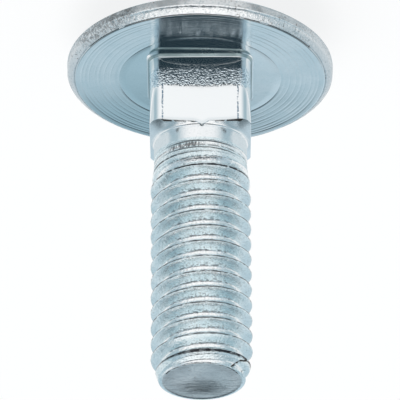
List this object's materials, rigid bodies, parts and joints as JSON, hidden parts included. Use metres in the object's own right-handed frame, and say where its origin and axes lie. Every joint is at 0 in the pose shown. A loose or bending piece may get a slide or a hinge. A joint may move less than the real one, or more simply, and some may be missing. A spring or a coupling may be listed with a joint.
{
  "type": "carriage bolt",
  "caption": "Mushroom-head carriage bolt in zinc-plated steel, with a square neck, a right-hand thread rolled up to the neck and a tapered tip.",
  "frame": {"origin": "centre of the small flat on the crown of the domed head, on which the bolt stands", "axes": "+Z along the bolt from the head to the tip, +X and +Y square to the flats of the neck"},
  "size_m": [0.0158, 0.0158, 0.0235],
  "materials": {
    "zinc_plated_steel": "bright blue-white zinc plate"
  },
  "bodies": {
    "root": {"carriage_bolt": "zinc_plated_steel"}
  },
  "joints": []
}
